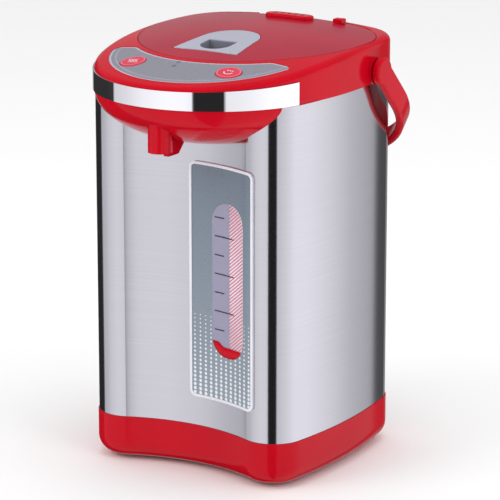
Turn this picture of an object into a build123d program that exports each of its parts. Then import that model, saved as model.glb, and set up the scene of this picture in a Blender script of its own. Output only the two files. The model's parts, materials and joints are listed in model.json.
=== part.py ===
from build123d import *
import os
from math import atan2, cos, degrees, hypot, radians, sin, sqrt

# Electric thermo pot, in millimetres. +Z is up, the front faces -Y, and the origin is on the
# upright centre axis of the body at the level that the feet stand on.

# --- fits ---
fit = 0.05
gap = 0.6
reach_past = 5.0

# --- plan outline of the body ---
body_half_width = 105.5
side_radius = 410.0
corner_radius = 28.0
corner_centre_y = 67.0
hollow_depth = 15.0

# --- levels and walls ---
foot_height = 2.5
body_bottom = 40.5
body_top = 325.5
head_height = 41.3
dome_top = body_top + head_height
shell_wall = 1.0
moulding_wall = 2.5
lip_thickness = 1.6
lip_height = 4.0
lip_root = 8.0

# --- base ---
base_proud = 0.8
base_fillet = 15.0
plate_thickness = 2.5
plate_inset = 17.5
plate_gap = 0.3
ledge_width = 9.5
foot_radius = 9.0
foot_side_inset = 39.5
foot_y = 62.0
foot_stem_radius = 3.0
screw_side_inset = 22.5
screw_y = 30.0
screw_radius = 1.5
screw_head_radius = 3.2
screw_head_height = 1.7
screw_length = 13.0
boss_radius = 4.0
boss_height = 10.5
vent_slot_length = 26.0
vent_slot_width = 3.0
vent_slot_pitch = 7.0
vent_slot_count = 5

# --- collar, hood and domed top ---
collar_proud = 1.0
hood_centre_y = -43.0
hood_inset = 5.3
dome_radius = 780.0
dome_y = 50.0
top_fillet = 6.5
chin_depth = 43.6
band_end_height = 18.9
band_slope = 2.9
band_proud = 1.2
band_sunk = 0.7
band_end_y = -72.0

# --- lid and its well ---
lid_side_inset = 4.5
lid_front_length = 110.0
lid_centre_y = 28.0
lid_straight = 8.0
lid_corner_radius = 48.0
lid_lip_height = 4.0
lid_skirt_inset = 1.2
lid_skirt_bottom = body_top + 19.7
well_floor_top = body_top + 18.9
well_wall = 2.2
mouth_radius = 71.6
neck_wall = 2.4
seal_height = 2.0
cover_thickness = 1.5
plug_radius = 66.0
plug_bottom = body_top + 13.0
gasket_width = 3.4
gasket_bottom = body_top + 14.5
gasket_height = 3.0
lid_screw_places = ((62.0, 60.0), (-62.0, 60.0), (60.0, -45.0), (-60.0, -45.0))
lid_screw_radius = 1.2
lid_screw_head = 2.6
lid_boss_radius = 3.6

# --- lid hinge ---
hinge_y = 90.4
hinge_z = dome_top - 7.4
hinge_relief = 2.0
hinge_pin_radius = 2.0
knuckle_radius = 4.2
bay_half_width = 40.4
bay_front_y = 80.0
bay_floor = hinge_z - 5.5
outer_knuckle = (30.0, 40.0)
middle_knuckle = 6.0
knuckle_gap = 0.4
arm_height = 3.6

# --- lid latch ---
lever_front_y = -60.0
lever_front_half = 31.0
lever_side_y = -17.0
lever_side_half = 25.6
lever_rear_y = 4.0
lever_plate = 3.0
lever_pivot_y = -58.5
lever_pivot_drop = 2.2
lever_pin_radius = 0.9
barrel_radius = 2.2
barrel_half = 24.0
pocket_floor = body_top + 26.0
pocket_wall = 1.5
finger_cup_half = 14.0
finger_cup_rear_y = -30.5
finger_cup_front_y = -55.0
finger_cup_floor = body_top + 28.8
finger_cup_wall = 1.2
arm_half = 3.0
arm_thickness = 2.0
bolt_half = 8.0
bolt_bottom = body_top + 21.5
bolt_top = bolt_bottom + 2.6
bolt_rear_y = -54.0
bolt_nose = 0.6
bolt_travel = 3.1

# --- steam vent and lid release ---
vent_x = 2.0
vent_y = 73.0
vent_length = 46.0
vent_width = 15.0
vent_proud = 3.6
vent_slots = 5
valve_y = 62.0
valve_radius = 8.0
valve_wall = 3.0
tab_left = 43.0
tab_right = 52.0
tab_front_y = 76.5
tab_rear_y = 83.5
tab_top = dome_top + 2.2
tab_travel = 3.5
tab_stem = 5.0

# --- control panel ---
panel_inset = 11.4
panel_lid_margin = 5.0
panel_rear_y = -62.0
panel_corner = 6.0
panel_recess = 0.5
panel_thickness = 1.0
button_x = 46.5
button_y = -97.0
button_radius = 11.0
button_gap = 0.35
button_proud = 0.3
button_flange = 1.2
button_bottom = body_top + 19.5
button_travel = 1.5
led_places = ((-6.0, -90.5), (-5.0, -99.0))
led_radius = 1.75
board_bottom = body_top + 12.5
board_thickness = 1.6
board_half = 70.0
board_rear_y = -76.0
board_side_y = -100.0
board_front_y = -124.0
board_front_half = 40.0
post_places = ((62.0, -84.0), (-62.0, -84.0), (20.0, -118.0), (-20.0, -118.0))
post_radius = 3.0
post_screw_radius = 1.2
post_screw_depth = 5.0
switch_width = 6.0
switch_height = 3.0
plunger_height = 0.8

# --- level gauge ---
bezel_left = -2.0
bezel_right = 69.0
bezel_bottom = 66.5
bezel_top = 270.0
bezel_proud = 2.0
bezel_frame = 2.2
bezel_corner = 6.0
panel_proud = 1.3
window_left = 21.0
window_right = 57.2
window_bottom = 106.0
window_top = 238.5
window_corner = 17.0
tube_x = 29.0
tube_y = -72.5
tube_radius = 6.5
tube_wall = 1.2
tube_bottom = 86.0
tube_top = body_top - 31.5
sleeve_wall = 1.8
sleeve_length = 22.0
float_radius = 4.6
float_height = 12.0
float_bottom = 107.0

# --- spout ---
spout_y = -128.0
spout_radius = 10.0
spout_wall = 2.0
spout_bottom = body_top - 39.5
spout_shoulder = body_top - 9.5
spout_top = body_top - 4.5
outlet_radius = 5.5
outlet_level = body_top + 6.3
outlet_bend = 11.0
rib_thickness = 5.0
rib_tip_y = -104.0
rib_tip_z = body_top - 45.0
rib_root_y = -92.0
rib_root_z = body_top - 33.5

# --- handle ---
pivot_y = 40.0
pivot_z = body_top + 10.5
boss_outer_radius = 12.0
boss_inner_radius = 8.0
boss_proud = 2.1
boss_depth = 13.6
pivot_radius = 4.0
handle_side_gap = 0.9
handle_thickness = 7.0
handle_width = 20.0
handle_straight = 40.0
handle_reach = 128.0
handle_fillet = 2.5
handle_rest_angle = 45.0
cap_radius = 7.9
cap_thickness = 1.0
cap_recess = 2.9
pivot_head_radius = 7.4
pivot_head_thickness = 1.2
hub_gap = 0.3

# --- water vessel and heaters ---
pot_y = 12.0
pot_radius = 79.0
pot_wall = 1.0
pot_bottom = 72.0
pot_shoulder = body_top - 7.5
pot_neck_level = body_top + 3.5
pot_neck_radius = 71.0
pot_rim_level = body_top + 12.5
pot_rim_width = 3.5
pot_bottom_fillet = 12.0
pot_neck_fillet = 4.0
bracket_thickness = 2.0
bracket_hole = 60.0
bracket_bar = 8.0
leg_radius = 4.0
heater_inner = 14.0
heater_outer = 42.0
heater_plate = 2.0
heater_ring_radius = 30.0
heater_tube_radius = 4.2
terminal_radius = 2.0
terminal_length = 12.0
belt_thickness = 1.8
belt_bottom = 84.0
belt_height = 20.0
thermostat_radius = 9.0
thermostat_height = 10.0
fuse_size = (12.0, 5.0, 5.0)
fuse_y = 50.0

# --- pump and motor ---
pump_x = 29.0
pump_y = -28.7
motor_radius = 17.0
motor_top = 31.0
motor_wall = 1.2
bearing_radius = 4.0
bearing_height = 2.8
shaft_radius = 1.5
shaft_bottom = 7.0
shaft_top = 37.0
armature_radius = 10.0
armature_bottom = 11.0
armature_top = 25.0
magnet_radius = 12.0
magnet_bottom = 33.0
magnet_top = 38.0
magnet_chamber_radius = 14.5
partition_bottom = 40.0
partition_top = 42.0
pump_outer_radius = 20.0
pump_inner_radius = 17.0
pump_chamber_top = 54.0
pump_cover = 2.0
pump_skirt_wall = 3.5
port_radius = 5.8
port_wall = 1.4
port_top = 64.0
outlet_port_radius = 4.95
outlet_port_z = 48.0
outlet_port_end_y = -58.0
axle_top = 52.0
impeller_radius = 14.0
impeller_bottom = 43.0
impeller_top = 49.0
impeller_disc = 1.5
impeller_hub_radius = 4.0
blade_thickness = 1.5
blade_count = 6
hose_wall = 1.5
riser_start_y = -52.0
riser_bend = 9.0

# --- supply board and appliance inlet ---
supply_left = -74.0
supply_right = -20.0
supply_front_y = -30.0
supply_rear_y = 50.0
supply_level = 28.0
supply_thickness = 1.6
standoff_radius = 3.0
standoff_margin = 5.0
transformer_width = 28.0
transformer_height = 20.0
transformer_margin = 8.0
capacitor_radius = 5.0
capacitor_height = 14.0
capacitor_pitch = 14.0
capacitor_count = 3
capacitor_row = 16.0
inlet_z = 57.0
inlet_width = 27.0
inlet_height = 19.5
inlet_depth = 18.0
inlet_wall = 1.5
inlet_corner = 4.0
inlet_flange = 2.8
inlet_flange_thickness = 1.5
inlet_pin_width = 4.0
inlet_pin_thickness = 2.0
inlet_pin_pitch = 7.0
inlet_pin_rise = 3.0
inlet_pin_length = 12.0
inlet_pin_tail = 8.0

# --- values that follow ---
ledge_bottom = foot_height + plate_thickness
ledge_top = ledge_bottom + plate_thickness
well_floor_bottom = well_floor_top - moulding_wall
neck_bottom = pot_rim_level + seal_height
back_y = corner_centre_y + corner_radius
hollow_middle_y = -back_y + hollow_depth
side_centre_x = body_half_width - side_radius
corner_centre_x = side_centre_x + sqrt((side_radius - corner_radius) ** 2 - corner_centre_y ** 2)
hollow_reach = -hollow_middle_y - corner_centre_y
hollow_radius = (corner_centre_x ** 2 + hollow_reach ** 2 - corner_radius ** 2) / (
    2 * (corner_radius - hollow_reach)
)
hollow_centre_y = hollow_middle_y - hollow_radius
hood_radius = body_half_width - hood_inset
hood_side_radius = (body_half_width ** 2 + hood_centre_y ** 2 - hood_radius ** 2) / (
    2 * (body_half_width - hood_radius)
)
hood_side_x = body_half_width - hood_side_radius
corner_angle = degrees(atan2(corner_centre_y, corner_centre_x - side_centre_x))
hollow_angle = degrees(atan2(-corner_centre_y - hollow_centre_y, corner_centre_x))
hood_angle = degrees(atan2(-hood_centre_y, -hood_side_x))
lid_rear_y = lid_centre_y + lid_straight + lid_corner_radius
lid_half_width = body_half_width - lid_side_inset
lid_corner_x = lid_half_width - lid_corner_radius
lid_front_y = lid_centre_y - lid_front_length
rebate_front_y = lid_rear_y - 3 * hinge_relief
groove_radius = hood_radius + collar_proud - band_sunk
cover_top = lid_skirt_bottom + cover_thickness
panel_radius = hood_radius - panel_inset
boss_face = body_half_width + boss_proud
boss_back = boss_face - boss_depth
handle_inner = boss_face + handle_side_gap
handle_outer = handle_inner + handle_thickness
sky = dome_top + 2 * reach_past

screw_x = body_half_width - screw_side_inset
foot_x = body_half_width - foot_side_inset
screw_places = [(x, y) for x in (-screw_x, screw_x) for y in (-screw_y, screw_y)]
foot_places = [(x, y) for x in (-foot_x, foot_x) for y in (-foot_y, foot_y)]
button_places = {"reboil_button": -button_x, "dispense_button": button_x}
supply_places = [
    (x, y)
    for x in (supply_left + standoff_margin, supply_right - standoff_margin)
    for y in (supply_front_y + standoff_margin, supply_rear_y - standoff_margin)
]


def dome_level(x, y, drop=0.0):
    """Height of the domed top over a point of the plan, moved down by drop."""
    radius = dome_radius - drop
    return dome_top - dome_radius + sqrt(radius ** 2 - x ** 2 - (y - dome_y) ** 2)


def outline(grow=0.0):
    """Plan outline of the body, moved outwards by grow."""
    corner = corner_radius + grow
    front_turn = 180 - corner_angle - hollow_angle
    with BuildSketch() as sketch:
        with BuildLine():
            Line((0, back_y + grow), (corner_centre_x, back_y + grow))
            CenterArc((corner_centre_x, corner_centre_y), corner, corner_angle, 90 - corner_angle)
            CenterArc((side_centre_x, 0), side_radius + grow, -corner_angle, 2 * corner_angle)
            CenterArc((corner_centre_x, -corner_centre_y), corner, -corner_angle, -front_turn)
            CenterArc((0, hollow_centre_y), hollow_radius - grow, hollow_angle, 90 - hollow_angle)
            mirror(about=Plane.YZ)
        make_face()
    return sketch.sketch


def collar_outline(grow=0.0):
    """Plan outline of the collar: the body's rear and sides, with a round hood in front."""
    corner = corner_radius + grow
    with BuildSketch() as sketch:
        with BuildLine():
            Line((0, back_y + grow), (corner_centre_x, back_y + grow))
            CenterArc((corner_centre_x, corner_centre_y), corner, corner_angle, 90 - corner_angle)
            CenterArc((side_centre_x, 0), side_radius + grow, 0, corner_angle)
            CenterArc((hood_side_x, 0), hood_side_radius + grow, -hood_angle, hood_angle)
            CenterArc((0, hood_centre_y), hood_radius + grow, -90, 90 - hood_angle)
            mirror(about=Plane.YZ)
        make_face()
    return sketch.sketch


def lid_outline(grow=0.0):
    """Plan outline of the lid: half an ellipse in front, round corners at the rear."""
    half = lid_half_width + grow
    corner = lid_corner_radius + grow
    corner_y = lid_centre_y + lid_straight
    with BuildSketch() as sketch:
        with BuildLine():
            EllipticalCenterArc(
                (0, lid_centre_y), half, lid_front_length + grow, start_angle=270, arc_size=90
            )
            Line((half, lid_centre_y), (half, corner_y))
            CenterArc((lid_corner_x, corner_y), corner, 0, 90)
            Line((lid_corner_x, lid_rear_y + grow), (0, lid_rear_y + grow))
            mirror(about=Plane.YZ)
        make_face()
    return sketch.sketch


def lever_outline(grow=0.0, front=0.0):
    """Plan outline of the latch lever, with more room in front than at the sides."""
    front_y = lever_front_y - grow - front
    with BuildSketch() as sketch:
        with BuildLine():
            Polyline(
                (-lever_side_half - grow, lever_side_y),
                (-lever_front_half - grow, front_y),
                (lever_front_half + grow, front_y),
                (lever_side_half + grow, lever_side_y),
            )
            ThreePointArc(
                (lever_side_half + grow, lever_side_y),
                (0, lever_rear_y + grow),
                (-lever_side_half - grow, lever_side_y),
            )
        make_face()
    return sketch.sketch


def cup_outline(grow=0.0):
    """Plan outline of the finger cup: straight at the rear, round in front."""
    half = finger_cup_half + grow
    rear_y = finger_cup_rear_y + grow
    side_y = (finger_cup_rear_y + finger_cup_front_y) / 2
    with BuildSketch() as sketch:
        with BuildLine():
            Polyline((-half, side_y), (-half, rear_y), (half, rear_y), (half, side_y))
            ThreePointArc((half, side_y), (0, finger_cup_front_y - grow), (-half, side_y))
        make_face()
    return sketch.sketch


def panel_outline(grow=0.0):
    """Plan outline of the control panel: a crescent between the lid and the hood's rim."""
    margin = panel_lid_margin - grow
    rear_y = panel_rear_y + grow
    with BuildSketch() as sketch:
        with Locations((0, hood_centre_y)):
            Circle(panel_radius + grow)
        with Locations((0, lid_centre_y)):
            Ellipse(lid_half_width + margin, lid_front_length + margin, mode=Mode.SUBTRACT)
        with Locations((0, rear_y)):
            Rectangle(
                3 * panel_radius,
                2 * panel_radius,
                align=(Align.CENTER, Align.MAX),
                mode=Mode.INTERSECT,
            )
        fillet(sketch.vertices(), panel_corner)
    return sketch.sketch


def slab(profile, bottom, top):
    """Upright solid of a plan profile between two levels."""
    with BuildPart() as piece:
        with BuildSketch(Plane.XY.offset(bottom)):
            add(profile)
        extrude(amount=top - bottom)
    return piece.part


def ring(x, y, bottom, top, outer, inner=0.0):
    """Upright round bar, or tube, between two levels."""
    with BuildSketch() as profile:
        with Locations((x, y)):
            Circle(outer)
            if inner > 0:
                Circle(inner, mode=Mode.SUBTRACT)
    return slab(profile.sketch, bottom, top)


def block(left, right, front, rear, bottom, top):
    """Upright box given by its six faces."""
    with BuildSketch() as profile:
        with Locations(((left + right) / 2, (front + rear) / 2)):
            Rectangle(right - left, rear - front)
    return slab(profile.sketch, bottom, top)


def under_dome(solid, drop=0.0):
    """What lies of a solid under the domed top, moved down by drop."""
    with BuildPart() as piece:
        add(solid)
        with Locations((0, dome_y, dome_top - dome_radius)):
            Sphere(dome_radius - drop, mode=Mode.INTERSECT)
    return piece.part


def above_dome(solid, drop=0.0):
    """What lies of a solid over the domed top, moved down by drop."""
    with BuildPart() as piece:
        add(solid)
        with Locations((0, dome_y, dome_top - dome_radius)):
            Sphere(dome_radius - drop, mode=Mode.SUBTRACT)
    return piece.part


def front_prism(left, right, bottom, top, radius):
    """Prism that runs forwards through the body's front, with rounded corners."""
    start = -corner_centre_y
    with BuildPart() as piece:
        with BuildSketch(Plane.XZ.offset(-start)):
            with Locations(((left + right) / 2, (bottom + top) / 2)):
                RectangleRounded(right - left, top - bottom, radius)
        extrude(amount=back_y + start + 2 * reach_past)
    return piece.part


def rear_prism(width, height, radius, front_y, rear_y):
    """Prism that runs rearwards about the inlet's axis, with rounded corners."""
    with BuildPart() as piece:
        with BuildSketch(Plane.XZ.offset(-rear_y)):
            with Locations((0, inlet_z)):
                RectangleRounded(width, height, radius)
        extrude(amount=rear_y - front_y)
    return piece.part


def cross_bar(left, right, y, z, outer, inner=0.0):
    """Round bar, or tube, along X between two faces."""
    with BuildPart() as piece:
        with BuildSketch(Plane.YZ.offset(left)):
            with Locations((y, z)):
                Circle(outer)
                if inner > 0:
                    Circle(inner, mode=Mode.SUBTRACT)
        extrude(amount=right - left)
    return piece.part


def hose(points, bend, outer, inner):
    """Hose along straight runs with round bends."""
    with BuildPart() as piece:
        with BuildLine() as path:
            FilletPolyline(*points, radius=bend)
        start = path.wires()[0]
        with BuildSketch(Plane(origin=start @ 0, z_dir=start % 0)):
            Circle(outer)
            Circle(inner, mode=Mode.SUBTRACT)
        sweep(path=start)
    return piece.part


def bowl(grow=0.0):
    """Lower half of the round bowl that closes the hood's underside, moved out by grow."""
    axis_plane = Plane(origin=(0, hood_centre_y, 0), x_dir=(1, 0, 0), z_dir=(0, -1, 0))
    with BuildPart() as piece:
        with BuildSketch(axis_plane):
            with BuildLine():
                EllipticalCenterArc(
                    (0, body_top),
                    hood_radius + collar_proud + grow,
                    chin_depth + grow,
                    start_angle=270,
                    arc_size=90,
                )
                Line((hood_radius + collar_proud + grow, body_top), (0, body_top))
                Line((0, body_top), (0, body_top - chin_depth - grow))
            make_face()
        revolve(axis=Axis((0, hood_centre_y, 0), (0, 0, 1)))
    return piece.part


def band_form(inner, outer, inset=0.0):
    """Ring round the hood's front whose top rises towards its ends, moved inwards by inset."""
    end_top = body_top + band_end_height - inset
    slope = radians(band_slope)
    with BuildPart() as piece:
        with BuildSketch(Plane.XY.offset(body_top + inset)):
            with Locations((0, hood_centre_y)):
                Circle(outer)
                Circle(inner, mode=Mode.SUBTRACT)
            with Locations((0, band_end_y - inset)):
                Rectangle(
                    3 * hood_radius,
                    2 * hood_radius,
                    align=(Align.CENTER, Align.MAX),
                    mode=Mode.INTERSECT,
                )
        extrude(amount=band_end_height)
        split(
            bisect_by=Plane(origin=(0, band_end_y, end_top), z_dir=(0, -sin(slope), cos(slope))),
            keep=Keep.BOTTOM,
        )
    return piece.part


def pot_form(inset, top):
    """Round vessel with a narrower neck, moved inwards by inset."""
    axis_plane = Plane(origin=(0, pot_y, 0), x_dir=(1, 0, 0), z_dir=(0, -1, 0))
    floor = pot_bottom + inset
    with BuildPart() as piece:
        with BuildSketch(axis_plane):
            with BuildLine():
                FilletPolyline(
                    (0, floor),
                    (pot_radius - inset, floor),
                    (pot_radius - inset, pot_shoulder),
                    (pot_neck_radius - inset, pot_neck_level),
                    (pot_neck_radius - inset, top),
                    radius=[pot_bottom_fillet, pot_neck_fillet, pot_neck_fillet],
                )
                Polyline((pot_neck_radius - inset, top), (0, top), (0, floor))
            make_face()
        revolve(axis=Axis((0, pot_y, 0), (0, 0, 1)))
    return piece.part


os.makedirs("parts", exist_ok=True)


def save(piece, name):
    """Label a finished piece and write it."""
    piece.part.label = name
    export_step(piece.part, f"parts/{name}.step")


# --- base ---
with BuildPart() as base_hollow:
    add(slab(outline(base_proud - moulding_wall), ledge_top, body_bottom + reach_past))
    fillet(base_hollow.faces().sort_by(Axis.Z)[0].edges(), base_fillet - 2 * moulding_wall)

with BuildPart() as base_skirt:
    add(slab(outline(base_proud), foot_height, body_bottom))
    fillet(base_skirt.faces().sort_by(Axis.Z)[0].edges(), base_fillet)
    add(base_hollow.part, mode=Mode.SUBTRACT)
    add(slab(outline(base_proud - plate_inset), 0, ledge_bottom), mode=Mode.SUBTRACT)
    add(slab(outline(base_proud - plate_inset - ledge_width), 0, body_bottom), mode=Mode.SUBTRACT)
    lip_inset = shell_wall + fit
    add(slab(outline(-lip_inset), body_bottom - lip_root, body_bottom + lip_height))
    add(
        slab(outline(-lip_inset - lip_thickness), body_bottom - lip_root, body_bottom + lip_height),
        mode=Mode.SUBTRACT,
    )
    for x, y in screw_places:
        add(ring(x, y, ledge_top, ledge_top + boss_height, boss_radius))
        add(
            ring(x, y, 0, ledge_top + boss_height - moulding_wall, screw_radius + fit),
            mode=Mode.SUBTRACT,
        )
save(base_skirt, "base_skirt")

with BuildPart() as base_plate:
    add(slab(outline(base_proud - plate_inset - plate_gap), foot_height, ledge_bottom))
    for side in (-1, 1):
        with BuildSketch(Plane.XY.offset(foot_height)):
            with Locations((0, side * vent_slot_pitch * (vent_slot_count + 1))):
                with GridLocations(0, vent_slot_pitch, 1, vent_slot_count):
                    SlotOverall(vent_slot_length, vent_slot_width)
        extrude(amount=plate_thickness, mode=Mode.SUBTRACT)
    for x, y in foot_places:
        add(ring(x, y, 0, ledge_bottom, foot_stem_radius + fit), mode=Mode.SUBTRACT)
    with Locations([(x, y, foot_height) for x, y in screw_places]):
        Cone(
            screw_head_radius + 2 * fit,
            screw_radius + 2 * fit,
            screw_head_height + 2 * fit,
            align=(Align.CENTER, Align.CENTER, Align.MIN),
            mode=Mode.SUBTRACT,
        )
        Cylinder(
            screw_radius + 2 * fit,
            plate_thickness,
            align=(Align.CENTER, Align.CENTER, Align.MIN),
            mode=Mode.SUBTRACT,
        )
    for x, y in supply_places:
        add(ring(x, y, ledge_bottom, supply_level, standoff_radius))
save(base_plate, "base_plate")

with BuildPart() as rubber_feet:
    for x, y in foot_places:
        add(ring(x, y, 0, foot_height, foot_radius))
        add(ring(x, y, foot_height, ledge_bottom, foot_stem_radius))
        add(ring(x, y, ledge_bottom, ledge_bottom + lip_thickness, foot_stem_radius + gap))
save(rubber_feet, "rubber_feet")

with BuildPart() as base_screws:
    with Locations([(x, y, foot_height + fit) for x, y in screw_places]):
        Cone(
            screw_head_radius,
            screw_radius,
            screw_head_height,
            align=(Align.CENTER, Align.CENTER, Align.MIN),
        )
    for x, y in screw_places:
        add(ring(x, y, foot_height + screw_head_height, foot_height + screw_length, screw_radius))
save(base_screws, "base_screws")

# --- body shell and level gauge ---
with BuildPart() as body_shell:
    add(slab(outline(), body_bottom, body_top))
    add(slab(outline(-shell_wall), body_bottom, body_top), mode=Mode.SUBTRACT)
    add(
        front_prism(window_left, window_right, window_bottom, window_top, window_corner),
        mode=Mode.SUBTRACT,
    )
    add(
        rear_prism(
            inlet_width + 2 * fit,
            inlet_height + 2 * fit,
            inlet_corner,
            corner_centre_y,
            back_y + reach_past,
        ),
        mode=Mode.SUBTRACT,
    )
save(body_shell, "body_shell")

with BuildPart() as gauge_bezel:
    add(slab(outline(bezel_proud), bezel_bottom, bezel_top))
    add(slab(outline(), bezel_bottom, bezel_top), mode=Mode.SUBTRACT)
    add(
        front_prism(bezel_left, bezel_right, bezel_bottom, bezel_top, bezel_corner),
        mode=Mode.INTERSECT,
    )
    add(
        front_prism(
            bezel_left + bezel_frame,
            bezel_right - bezel_frame,
            bezel_bottom + bezel_frame,
            bezel_top - bezel_frame,
            bezel_corner - bezel_frame,
        ),
        mode=Mode.SUBTRACT,
    )
save(gauge_bezel, "gauge_bezel")

with BuildPart() as gauge_panel:
    panel_edge = bezel_frame + fit
    add(slab(outline(panel_proud), bezel_bottom, bezel_top))
    add(slab(outline(), bezel_bottom, bezel_top), mode=Mode.SUBTRACT)
    add(
        front_prism(
            bezel_left + panel_edge,
            bezel_right - panel_edge,
            bezel_bottom + panel_edge,
            bezel_top - panel_edge,
            bezel_corner - bezel_frame,
        ),
        mode=Mode.INTERSECT,
    )
    add(
        front_prism(window_left, window_right, window_bottom, window_top, window_corner),
        mode=Mode.SUBTRACT,
    )
save(gauge_panel, "gauge_panel")

with BuildPart() as gauge_window:
    add(slab(outline(panel_proud), bezel_bottom, bezel_top))
    add(slab(outline(-shell_wall), bezel_bottom, bezel_top), mode=Mode.SUBTRACT)
    add(
        front_prism(
            window_left + fit,
            window_right - fit,
            window_bottom + fit,
            window_top - fit,
            window_corner,
        ),
        mode=Mode.INTERSECT,
    )
save(gauge_window, "gauge_window")

# --- water vessel, heaters and sensors ---
with BuildPart() as inner_pot:
    add(pot_form(0.0, pot_rim_level))
    add(
        ring(0, pot_y, pot_rim_level - pot_wall, pot_rim_level, pot_neck_radius + pot_rim_width)
    )
    add(ring(pump_x, pump_y, port_top + fit, pot_bottom + pot_wall, port_radius))
    add(pot_form(pot_wall, pot_rim_level), mode=Mode.SUBTRACT)
    add(
        ring(pump_x, pump_y, port_top, pot_bottom + 2 * pot_wall, port_radius - port_wall),
        mode=Mode.SUBTRACT,
    )
save(inner_pot, "inner_pot")

with BuildPart() as pot_seal:
    add(
        ring(
            0, pot_y, pot_rim_level, neck_bottom, mouth_radius + neck_wall, pot_neck_radius - pot_wall
        )
    )
save(pot_seal, "pot_seal")

with BuildPart() as pot_bracket:
    bracket_bottom = pot_bottom - bracket_thickness
    with BuildSketch(Plane.XY.offset(bracket_bottom)):
        with Locations((0, pot_y)):
            Circle(pot_radius)
        with Locations((0, -screw_y), (0, screw_y)):
            Rectangle(2 * screw_x + bracket_bar, bracket_bar)
        with Locations((0, pot_y)):
            Circle(bracket_hole, mode=Mode.SUBTRACT)
    extrude(amount=bracket_thickness)
    for x, y in screw_places:
        add(ring(x, y, ledge_top + boss_height, bracket_bottom, leg_radius))
save(pot_bracket, "pot_bracket")

with BuildPart() as boil_heater:
    heater_bottom = pot_bottom - heater_plate
    add(ring(0, pot_y, heater_bottom, pot_bottom, heater_outer, heater_inner))
    with Locations((0, pot_y, heater_bottom - heater_tube_radius + heater_plate / 2)):
        Torus(heater_ring_radius, heater_tube_radius)
    for side in (-1, 1):
        terminal_top = heater_bottom - heater_tube_radius
        add(
            ring(
                side * heater_ring_radius,
                pot_y,
                terminal_top - terminal_length,
                terminal_top,
                terminal_radius,
            )
        )
save(boil_heater, "boil_heater")

with BuildPart() as keep_warm_heater:
    add(
        ring(
            0, pot_y, belt_bottom + pot_wall, belt_bottom + belt_height,
            pot_radius + belt_thickness, pot_radius,
        )
    )
save(keep_warm_heater, "keep_warm_heater")

with BuildPart() as thermostat:
    add(ring(0, pot_y, pot_bottom - thermostat_height, pot_bottom, thermostat_radius))
    add(
        ring(
            0, pot_y, pot_bottom - pot_wall, pot_bottom, (thermostat_radius + heater_inner) / 2
        )
    )
save(thermostat, "thermostat")

with BuildPart() as thermal_fuse:
    with Locations((0, fuse_y, heater_bottom)):
        Box(*fuse_size, align=(Align.CENTER, Align.CENTER, Align.MAX))
    fillet(thermal_fuse.edges().filter_by(Axis.X).group_by(Axis.Z)[0], fuse_size[1] / 4)
save(thermal_fuse, "thermal_fuse")

# --- pump, motor and water path ---
with BuildPart() as motor_can:
    add(ring(pump_x, pump_y, ledge_bottom, motor_top, motor_radius))
    add(
        ring(
            pump_x, pump_y, ledge_bottom + motor_wall, motor_top - motor_wall,
            motor_radius - motor_wall,
        ),
        mode=Mode.SUBTRACT,
    )
    add(ring(pump_x, pump_y, ledge_bottom + motor_wall, ledge_bottom + motor_wall + bearing_height,
             bearing_radius))
    add(
        ring(pump_x, pump_y, ledge_bottom + motor_wall, motor_top, shaft_radius + fit),
        mode=Mode.SUBTRACT,
    )
save(motor_can, "motor_can")

with BuildPart() as motor_shaft:
    add(ring(pump_x, pump_y, shaft_bottom, shaft_top, shaft_radius))
    add(ring(pump_x, pump_y, armature_bottom, armature_top, armature_radius))
save(motor_shaft, "motor_shaft")

with BuildPart() as drive_magnet:
    add(ring(pump_x, pump_y, magnet_bottom, magnet_top, magnet_radius, shaft_radius))
save(drive_magnet, "drive_magnet")

with BuildPart() as pump_housing:
    add(
        ring(
            pump_x, pump_y, motor_top, partition_bottom,
            magnet_chamber_radius + pump_skirt_wall, magnet_chamber_radius,
        )
    )
    add(ring(pump_x, pump_y, partition_bottom, pump_chamber_top + pump_cover, pump_outer_radius))
    with BuildSketch(Plane.XZ.offset(-pump_y)):
        with Locations((pump_x, outlet_port_z)):
            Circle(outlet_port_radius)
    extrude(amount=pump_y - outlet_port_end_y)
    add(ring(pump_x, pump_y, pump_chamber_top, port_top - fit, port_radius))
    add(
        ring(pump_x, pump_y, partition_top, pump_chamber_top, pump_inner_radius),
        mode=Mode.SUBTRACT,
    )
    add(
        ring(pump_x, pump_y, pump_chamber_top, port_top, port_radius - port_wall),
        mode=Mode.SUBTRACT,
    )
    with BuildSketch(Plane.XZ.offset(-pump_y)):
        with Locations((pump_x, outlet_port_z)):
            Circle(outlet_port_radius - port_wall)
    extrude(amount=pump_y - outlet_port_end_y, mode=Mode.SUBTRACT)
    add(ring(pump_x, pump_y, partition_top, axle_top, shaft_radius))
save(pump_housing, "pump_housing")

with BuildPart() as impeller:
    add(ring(pump_x, pump_y, impeller_bottom, impeller_bottom + impeller_disc, impeller_radius))
    add(ring(pump_x, pump_y, impeller_bottom, impeller_top, impeller_hub_radius))
    with BuildSketch(Plane.XY.offset(impeller_bottom)):
        with Locations((pump_x, pump_y)):
            with PolarLocations(impeller_radius / 2, blade_count):
                Rectangle(impeller_radius - gap, blade_thickness)
    extrude(amount=impeller_top - impeller_bottom)
    add(
        ring(pump_x, pump_y, impeller_bottom, impeller_top, shaft_radius + fit),
        mode=Mode.SUBTRACT,
    )
save(impeller, "impeller")

with BuildPart() as suction_hose:
    add(
        ring(
            pump_x, pump_y, pump_chamber_top + pump_cover, pot_bottom - bracket_thickness,
            port_radius + hose_wall, port_radius,
        )
    )
save(suction_hose, "suction_hose")

with BuildPart() as riser_hose:
    add(
        hose(
            (
                (tube_x, riser_start_y, outlet_port_z),
                (tube_x, tube_y, outlet_port_z),
                (tube_x, tube_y, tube_bottom - gap),
            ),
            riser_bend,
            tube_radius,
            outlet_port_radius,
        )
    )
save(riser_hose, "riser_hose")

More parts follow.
